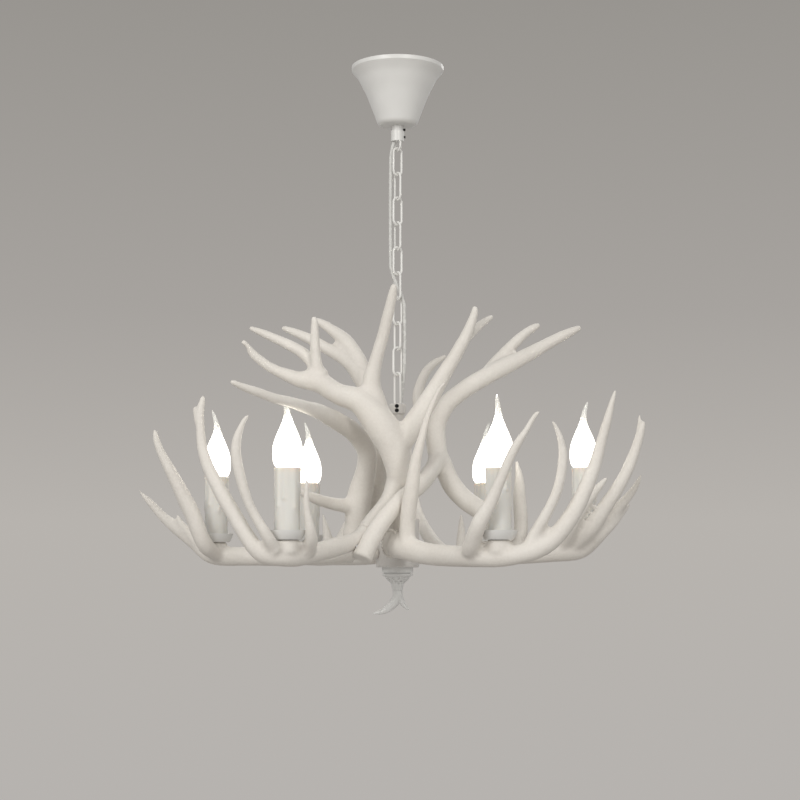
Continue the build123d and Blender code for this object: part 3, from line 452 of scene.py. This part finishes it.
def ring_tree(material):
    """Geometry nodes: rounded beads set evenly round a ring, each one leaning outwards and a little uneven."""
    tree = bpy.data.node_groups.new("beads_round_ring", "GeometryNodeTree")
    sockets = {}
    for label, kind in (
        ("Ring Radius", "NodeSocketFloat"), ("Bead Count", "NodeSocketInt"), ("Bead Size", "NodeSocketVector"),
        ("Outward Lean", "NodeSocketFloat"), ("Unevenness", "NodeSocketFloat"), ("Seed", "NodeSocketInt"),
    ):
        sockets[label] = tree.interface.new_socket(label, in_out="INPUT", socket_type=kind).identifier
    tree.interface.new_socket("Geometry", in_out="OUTPUT", socket_type="NodeSocketGeometry")
    nodes = tree.nodes
    links = tree.links
    given = nodes.new("NodeGroupInput").outputs
    ring = nodes.new("GeometryNodeMeshCircle")
    links.new(given["Bead Count"], ring.inputs["Vertices"])
    links.new(given["Ring Radius"], ring.inputs["Radius"])
    bead = nodes.new("GeometryNodeMeshIcoSphere")
    bead.inputs["Radius"].default_value = 1.0
    bead.inputs["Subdivisions"].default_value = BEAD_FINENESS
    outward = nodes.new("FunctionNodeAlignRotationToVector")
    outward.axis = "X"
    outward.pivot_axis = "Z"
    links.new(nodes.new("GeometryNodeInputPosition").outputs["Position"], outward.inputs["Vector"])
    lean = nodes.new("ShaderNodeCombineXYZ")
    links.new(given["Outward Lean"], lean.inputs["Y"])
    lean_turn = nodes.new("FunctionNodeEulerToRotation")
    links.new(lean.outputs["Vector"], lean_turn.inputs["Euler"])
    turned = nodes.new("FunctionNodeRotateRotation")
    turned.rotation_space = "LOCAL"
    links.new(outward.outputs["Rotation"], turned.inputs["Rotation"])
    links.new(lean_turn.outputs["Rotation"], turned.inputs["Rotate By"])
    chance = nodes.new("FunctionNodeRandomValue")
    chance.data_type = "FLOAT"
    least = nodes.new("ShaderNodeMath")
    least.operation = "SUBTRACT"
    least.inputs[0].default_value = 1.0
    links.new(given["Unevenness"], least.inputs[1])
    links.new(least.outputs["Value"], chance.inputs[2])
    chance.inputs[3].default_value = 1.0
    links.new(given["Seed"], chance.inputs["Seed"])
    size = nodes.new("ShaderNodeVectorMath")
    size.operation = "SCALE"
    links.new(given["Bead Size"], size.inputs[0])
    links.new(chance.outputs[1], size.inputs["Scale"])
    beads = nodes.new("GeometryNodeInstanceOnPoints")
    links.new(ring.outputs["Mesh"], beads.inputs["Points"])
    links.new(bead.outputs["Mesh"], beads.inputs["Instance"])
    links.new(turned.outputs["Rotation"], beads.inputs["Rotation"])
    links.new(size.outputs["Vector"], beads.inputs["Scale"])
    real = nodes.new("GeometryNodeRealizeInstances")
    links.new(beads.outputs["Instances"], real.inputs["Geometry"])
    finish = nodes.new("GeometryNodeSetMaterial")
    finish.inputs["Material"].default_value = material
    links.new(real.outputs["Geometry"], finish.inputs["Geometry"])
    links.new(finish.outputs["Geometry"], nodes.new("NodeGroupOutput").inputs["Geometry"])
    return tree, sockets


def beads_round_ring(name, material, place, sizes):
    """Run the bead tree, turn the result into a plain mesh and set it in its place."""
    tree, sockets = ring_tree(material)
    piece = link_piece(name, bpy.data.meshes.new(name))
    modifier = piece.modifiers.new("beads", "NODES")
    modifier.node_group = tree
    for label, value in sizes.items():
        modifier[sockets[label]] = value
    settle(piece)
    piece.data.transform(place)
    smooth_faces(piece.data)
    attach(piece, "chandelier")


plate_low, plate_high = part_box("hub_plate")
cap_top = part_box("finial_cap")[1].z
PEARL = 1.9 * MM
beads_round_ring("hub_pearls", finial_paint, Matrix.Translation((0, 0, plate_low.z + PEARL)), {
    "Ring Radius": (plate_high.x - plate_low.x) / 2 - PEARL, "Bead Count": 40, "Bead Size": (PEARL, PEARL, PEARL),
    "Outward Lean": 0.0, "Unevenness": 0.25, "Seed": 4,
})
# How far below the cap's top each ring of petals stands. A petal's size is its thickness, width and length, halved.
OUTER_PETAL_DROP = 13.2 * MM
INNER_PETAL_DROP = 18.0 * MM
beads_round_ring("finial_petals", finial_paint, Matrix.Translation((0, 0, cap_top - OUTER_PETAL_DROP)), {
    "Ring Radius": 13.4 * MM, "Bead Count": 11, "Bead Size": (1.7 * MM, 3.6 * MM, 5.4 * MM),
    "Outward Lean": radians(34), "Unevenness": 0.1, "Seed": 2,
})
beads_round_ring("finial_inner_petals", finial_paint, Matrix.Translation((0, 0, cap_top - INNER_PETAL_DROP)), {
    "Ring Radius": 9.0 * MM, "Bead Count": 9, "Bead Size": (1.4 * MM, 2.6 * MM, 3.6 * MM),
    "Outward Lean": radians(28), "Unevenness": 0.15, "Seed": 5,
})

# ---------- blackened grub screws on the front of the column's cap ----------
COLUMN_SCREW_R = 2.6 * MM
COLUMN_SCREW_DEPTH = 1.6 * MM
COLUMN_SCREW_X = -0.8 * MM
COLUMN_SCREW_PROUD = 0.3 * MM
COLUMN_SCREW_DROPS = [3.6 * MM, 9.2 * MM]
SCREW_SIDES = 24
# Each ring of a screw, from its back to its dished end: how far behind the end, and how far in from the rim.
SCREW_PROFILE = [
    (COLUMN_SCREW_DEPTH, 0.0), (0.3 * MM, 0.0), (0.0, 0.35 * MM), (0.25 * MM, COLUMN_SCREW_R * 0.5),
]


def grub_screw(name, centre):
    """A grub screw that faces the front, with a bevelled edge and a dished end."""
    rings = [
        [
            centre + Vector((cos(tau * k / SCREW_SIDES), 0, sin(tau * k / SCREW_SIDES))) * (COLUMN_SCREW_R - inset)
            + Vector((0, back, 0))
            for k in range(SCREW_SIDES)
        ]
        for back, inset in SCREW_PROFILE
    ]
    screw = bmesh_to_piece(name, mesh_from_rings(rings), black_steel)
    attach(screw, "chandelier")


column_low, column_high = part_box("column_cap")
for number, drop in enumerate(COLUMN_SCREW_DROPS, start=1):
    place = Vector((COLUMN_SCREW_X, column_low.y - COLUMN_SCREW_PROUD, column_high.z - drop))
    grub_screw("column_screw_%d" % number, place)

# ---------- pearls round the burr at the root of the front lower antler ----------
# The burr's centre, with its height over the ring that the lower antlers lie in, and the way the burr faces.
BURR_CENTRE = (-8.0, -75.2, 15.5)
BURR_FACING = (-15, -12, 0.5)
BURR_RADIUS = 16.4
RING_OVER_PLATE = 14.0
burr_height = plate_low.z + (RING_OVER_PLATE + BURR_CENTRE[2]) * MM
burr_place = Matrix.Translation((BURR_CENTRE[0] * MM, BURR_CENTRE[1] * MM, burr_height))
burr_turn = Vector(BURR_FACING).to_track_quat("Z", "Y").to_matrix().to_4x4()
beads_round_ring("burr_pearls", resin, burr_place @ burr_turn, {
    "Ring Radius": BURR_RADIUS * MM, "Bead Count": 26, "Bead Size": (2.3 * MM, 2.2 * MM, 2.6 * MM),
    "Outward Lean": 0.0, "Unevenness": 0.45, "Seed": 7,
})

# ---------- candles ----------
SLEEVE_SIDES = 96
SLEEVE_ROWS = 64
SLEEVE_WALL = 1.5 * MM
DRIP_COUNT = 9
DRIP_STEP = 137.5
# How many widths a drip is felt to either side, and the share of its length at which its bead hangs.
DRIP_REACH = 2.2
BEAD_PLACE = 0.93
# The rolled wax at the sleeve's rim: how far it stands out, how far below the rim, and how wide it is.
RIM_OUT = 0.55 * MM
RIM_DROP = 1.6 * MM
RIM_WIDTH = 1.8 * MM
SKIN_INSET = 0.25 * MM


def drip_height(angle, below_rim, drips):
    """How far the wax stands out at this angle and this far below the rim."""
    out = 0.0
    for place, length, width, thickness in drips:
        across = abs((angle - place + 180) % 360 - 180) / width
        if across > DRIP_REACH:
            continue
        along = below_rim / length
        bead = exp(-((along - BEAD_PLACE) / 0.09) ** 2) * 0.4
        run = 1.0 if along < BEAD_PLACE else exp(-((along - BEAD_PLACE) / 0.06) ** 2)
        out = max(out, thickness * exp(-across * across) * (run * (0.65 + 0.25 * along) + bead))
    return out + RIM_OUT * exp(-((below_rim - RIM_DROP) / RIM_WIDTH) ** 2)


def wax_candle(number):
    """A candle sleeve with wax runs: outer skin, rolled rim and inner wall."""
    node = "candle_sleeve_%d" % number
    low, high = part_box(node)
    centre = (low + high) / 2
    radius = (high.x - low.x) / 2 - SKIN_INSET
    height = high.z - low.z
    drips = []
    for k in range(DRIP_COUNT):
        chance = noise.noise(Vector((number * 3.1, k * 1.7, 0.5))) * 0.5 + 0.5
        drips.append((
            (k * DRIP_STEP + number * 61.0) % 360, height * (0.14 + 0.75 * chance), 7.5 + 6.0 * chance,
            (0.6 + 0.7 * chance) * MM,
        ))
    rings = []
    for row in range(SLEEVE_ROWS + 1):
        up = height * row / SLEEVE_ROWS
        ring = []
        for k in range(SLEEVE_SIDES):
            angle = 360.0 * k / SLEEVE_SIDES
            turn = radians(angle)
            out = radius + drip_height(angle, height - up, drips)
            out += 0.12 * MM * noise.noise(Vector((cos(turn) * 2, sin(turn) * 2, up * 60 + number)))
            ring.append((centre.x + out * cos(turn), centre.y + out * sin(turn), low.z + up))
        rings.append(ring)
    inner = radius - SLEEVE_WALL
    for up in (height, height - 1.0 * MM, height * 0.5, 0.0):
        bore = inner + (0.5 * MM if up == height else 0.0)
        rings.append([
            (centre.x + bore * cos(tau * k / SLEEVE_SIDES), centre.y + bore * sin(tau * k / SLEEVE_SIDES), low.z + up)
            for k in range(SLEEVE_SIDES)
        ])
    shape = mesh_from_rings(rings + [rings[0]], False, False)
    bmesh.ops.remove_doubles(shape, verts=shape.verts, dist=WELD)
    bmesh.ops.recalc_face_normals(shape, faces=shape.faces)
    candle = bmesh_to_piece("wax_" + node, shape, wax)
    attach(candle, "chandelier")
    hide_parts(node)


# Flame bulb: height and radius in millimetres from base to tip.
BULB_OUTLINE = [
    (0, 7.4), (1.5, 10.2), (3, 12.6), (4.5, 14.2), (6.5, 15.6), (9, 16.5), (12, 17.1), (16, 17.45), (20, 17.5),
    (25, 17.3), (30, 16.6), (34, 15.6), (38, 14.2), (42, 12.6), (46, 10.9), (50, 9.0), (54, 7.2), (58, 5.7),
    (62, 4.6), (66, 3.8), (70, 3.3), (74, 2.9), (78, 2.5), (82, 2.0), (85, 1.5), (87.6, 0.8),
]
BULB_SIDES = 48
# The tip bends over from this height, by this much in each further bend length, and leans this way on each lamp.
BEND_FROM = 58.0
BEND_LENGTH = 30.0
BULB_TIP_LEAN = 7.0
TIP_LEANS = [250, 185, 180, 20, 160, 10]
# The glow is full up to the first height and gone at the second.
LIT_UP_TO = 44.0
FADES_BY = 64.0


def flame_bulb(number):
    """A blown flame bulb whose tip is drawn out and bent over."""
    node = "bulb_glass_%d" % number
    sleeve_low, sleeve_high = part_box("candle_sleeve_%d" % number)
    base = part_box(node)[0].z
    centre = (sleeve_low + sleeve_high) / 2
    turn = radians(TIP_LEANS[number - 1])
    rings = []
    for height, radius in BULB_OUTLINE:
        bend = max(0.0, (height - BEND_FROM) / BEND_LENGTH)
        lean = BULB_TIP_LEAN * bend * bend
        middle = Vector((centre.x + lean * cos(turn) * MM, centre.y + lean * sin(turn) * MM, base + height * MM))
        rings.append([
            middle + Vector((cos(tau * k / BULB_SIDES), sin(tau * k / BULB_SIDES), 0)) * radius * MM
            for k in range(BULB_SIDES)
        ])
    bulb = bmesh_to_piece("flame_" + node, mesh_from_rings(rings), flame)
    subdivide = bulb.modifiers.new("subdivide", "SUBSURF")
    subdivide.levels = 1
    subdivide.render_levels = 1
    settle(bulb)
    glow = bulb.data.attributes.new("glow", "FLOAT", "POINT")
    glow.data.foreach_set("value", [
        max(0.0, min(1.0, (FADES_BY - (vert.co.z - base) / MM) / (FADES_BY - LIT_UP_TO)))
        for vert in bulb.data.vertices
    ])
    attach(bulb, "chandelier")
    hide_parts(node)


for number in range(1, LAMP_COUNT + 1):
    wax_candle(number)
    flame_bulb(number)

# ---------- supply cord, woven along the chain ----------
CORD_POINTS = [
    (0, 0, -8), (0, 0, -60), (0, 0, -84), (-3.2, 0, -94), (-8.6, 0.8, -113), (-9.1, 0.6, -140), (-9.3, 0, -200),
    (-9.0, -0.3, -250), (-8.9, -0.4, -270), (8.9, 0.4, -308), (9.0, 0.3, -328), (9.3, 0, -350), (9.0, 0.2, -385),
    (8.8, 0.3, -402), (4.6, 0, -431), (4.2, 0, -440), (4.2, 0, -446.5),
]
CORD_RADIUS = 2.2
CORE_RADIUS = 0.85
CORE_OFFSET = 0.95
CORE_TWIST = 34.0
CORD_SIDES = 20


def cord_line():
    """The cord's own spline, read back as close points."""
    curve = bpy.data.curves.new("cord_route", "CURVE")
    curve.dimensions = "3D"
    spline = curve.splines.new("NURBS")
    spline.points.add(len(CORD_POINTS) - 1)
    for point, (x, y, z) in zip(spline.points, CORD_POINTS):
        point.co = (x * MM, y * MM, z * MM, 1.0)
    spline.order_u = 3
    spline.use_endpoint_u = True
    spline.resolution_u = 24
    route = link_piece("cord_route", curve)
    graph = bpy.context.evaluated_depsgraph_get()
    points = [vert.co.copy() for vert in bpy.data.meshes.new_from_object(route.evaluated_get(graph)).vertices]
    bpy.data.objects.remove(route)
    return points


def tube_rings(line, radius, offset=0.0, start_turn=0.0):
    """Rings round a line, or round a strand that winds about it."""
    rings = []
    run = 0.0
    side = Vector((1, 0, 0))
    strand = []
    for n, point in enumerate(line):
        along = (line[min(n + 1, len(line) - 1)] - line[max(n - 1, 0)]).normalized()
        side = (side - along * side.dot(along)).normalized()
        run += (point - line[max(n - 1, 0)]).length
        turn = start_turn + tau * run / (CORE_TWIST * MM)
        across = along.cross(side)
        strand.append((point + (side * cos(turn) + across * sin(turn)) * offset, side.copy(), across))
    for middle, side, across in strand:
        rings.append([
            middle + (side * cos(tau * k / CORD_SIDES) + across * sin(tau * k / CORD_SIDES)) * radius
            for k in range(CORD_SIDES)
        ])
    return rings


def cord_stretches():
    """Split the cord at the middle of every link, so that each stretch spans one chain joint."""
    line = cord_line()
    joints = frame["joints"]
    pivots = [joint["pos_m"][2] for joint in joints]
    cuts = [(upper + lower) / 2 for upper, lower in zip(pivots, pivots[1:])]
    layers = [
        ("cord_sheath", tube_rings(line, CORD_RADIUS * MM), sheath),
        ("cord_core_a", tube_rings(line, CORE_RADIUS * MM, CORE_OFFSET * MM, 0.0), core_plastic),
        ("cord_core_b", tube_rings(line, CORE_RADIUS * MM, CORE_OFFSET * MM, pi), core_plastic),
    ]
    inner_ends = [min(range(len(line)), key=lambda n: abs(line[n].z - cut)) for cut in cuts]
    ends = [0] + inner_ends + [len(line) - 1]
    for label, rings, material in layers:
        for number, joint in enumerate(joints):
            piece_rings = rings[ends[number]:ends[number + 1] + 1]
            closed = (number == 0, number == len(joints) - 1)
            stretch = bmesh_to_piece("%s_%d" % (label, number + 1), mesh_from_rings(piece_rings, *closed), material)
            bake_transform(stretch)
            if number == 0 and label == "cord_sheath":
                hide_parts("power_cord")


cord_stretches()

# ---------- room: backdrop, floor, lamps, camera ----------
FLOOR_DEPTH = 2.4
FLOOR_RADIUS = 8.0
ROOM_STRENGTH = 0.46
# The backdrop's colours from low to high, and the band of view heights that they spread over.
BACKDROP = [
    (0.0, (0.47, 0.45, 0.43)), (0.35, (0.475, 0.452, 0.425)),
    (0.62, (0.385, 0.365, 0.345)), (1.0, (0.315, 0.30, 0.28)),
]
BACKDROP_BAND = (-0.14, 0.32)
LAMP_COLOUR = (1.0, 0.985, 0.96)
AIM = (0, 0, -0.5)


def pale_floor():
    """A wide pale floor far below, out of the photograph's frame."""
    shape = bmesh.new()
    bmesh.ops.create_circle(shape, cap_ends=True, radius=FLOOR_RADIUS, segments=96)
    for vert in shape.verts:
        vert.co.z -= FLOOR_DEPTH
    material, nodes, links, shader = start_material("pale_floor")
    cloud = object_pattern(nodes, links, "ShaderNodeTexNoise", 3, detail=4)
    links.new(
        tint_by(nodes, links, cloud.outputs["Fac"], [(0.3, (0.60, 0.58, 0.56)), (0.7, (0.64, 0.62, 0.60))]),
        shader.inputs["Base Color"],
    )
    shader.inputs["Roughness"].default_value = 0.8
    bmesh_to_piece("pale_floor", shape, material)


def room_light():
    """A grey room behind the object, and even white light on it."""
    world = bpy.data.worlds.new("room")
    bpy.context.scene.world = world
    world.use_nodes = True
    nodes = world.node_tree.nodes
    links = world.node_tree.links
    nodes.clear()
    out = nodes.new("ShaderNodeOutputWorld")
    mix = nodes.new("ShaderNodeMixShader")
    path = nodes.new("ShaderNodeLightPath")
    seen = nodes.new("ShaderNodeBackground")
    lit = nodes.new("ShaderNodeBackground")
    lit.inputs["Color"].default_value = (1.0, 0.985, 0.965, 1.0)
    lit.inputs["Strength"].default_value = ROOM_STRENGTH
    place = nodes.new("ShaderNodeTexCoord")
    split = nodes.new("ShaderNodeSeparateXYZ")
    links.new(place.outputs["Generated"], split.inputs["Vector"])
    spread = nodes.new("ShaderNodeMapRange")
    set_sockets(spread, From_Min=BACKDROP_BAND[0], From_Max=BACKDROP_BAND[1])
    links.new(split.outputs["Z"], spread.inputs["Value"])
    links.new(tint_by(nodes, links, spread.outputs["Result"], BACKDROP), seen.inputs["Color"])
    links.new(path.outputs["Is Camera Ray"], mix.inputs["Fac"])
    links.new(lit.outputs["Background"], mix.inputs[1])
    links.new(seen.outputs["Background"], mix.inputs[2])
    links.new(mix.outputs["Shader"], out.inputs["Surface"])


def soft_box(name, place, size, power):
    """A rectangular lamp that faces the middle of the object."""
    lamp = bpy.data.lights.new(name, "AREA")
    lamp.shape = "RECTANGLE"
    lamp.size, lamp.size_y = size
    lamp.energy = power
    lamp.color = LAMP_COLOUR
    holder = bpy.data.objects.new(name, lamp)
    holder.location = place
    holder.rotation_euler = (Vector(AIM) - Vector(place)).to_track_quat("-Z", "Y").to_euler()
    bpy.context.scene.collection.objects.link(holder)


def photograph_camera():
    camera = bpy.data.cameras.new("photograph_camera")
    camera.lens = CAMERA_LENS
    camera.sensor_width = SENSOR_WIDTH
    camera.clip_end = 60
    holder = bpy.data.objects.new("photograph_camera", camera)
    holder.location = CAMERA_PLACE
    holder.rotation_euler = (radians(90 + CAMERA_PITCH), 0, 0)
    bpy.context.scene.collection.objects.link(holder)
    bpy.context.scene.camera = holder


pale_floor()
room_light()
soft_box("left_front_box", (-1.3, -2.1, 0.4), size=(0.8, 1.6), power=25)
soft_box("right_front_box", (0.9, -2.3, 0.4), size=(0.5, 1.6), power=18)
soft_box("back_box", (0.6, 1.9, 0.9), size=(1.4, 1.0), power=10)
photograph_camera()
bpy.context.scene.view_settings.view_transform = "Standard"
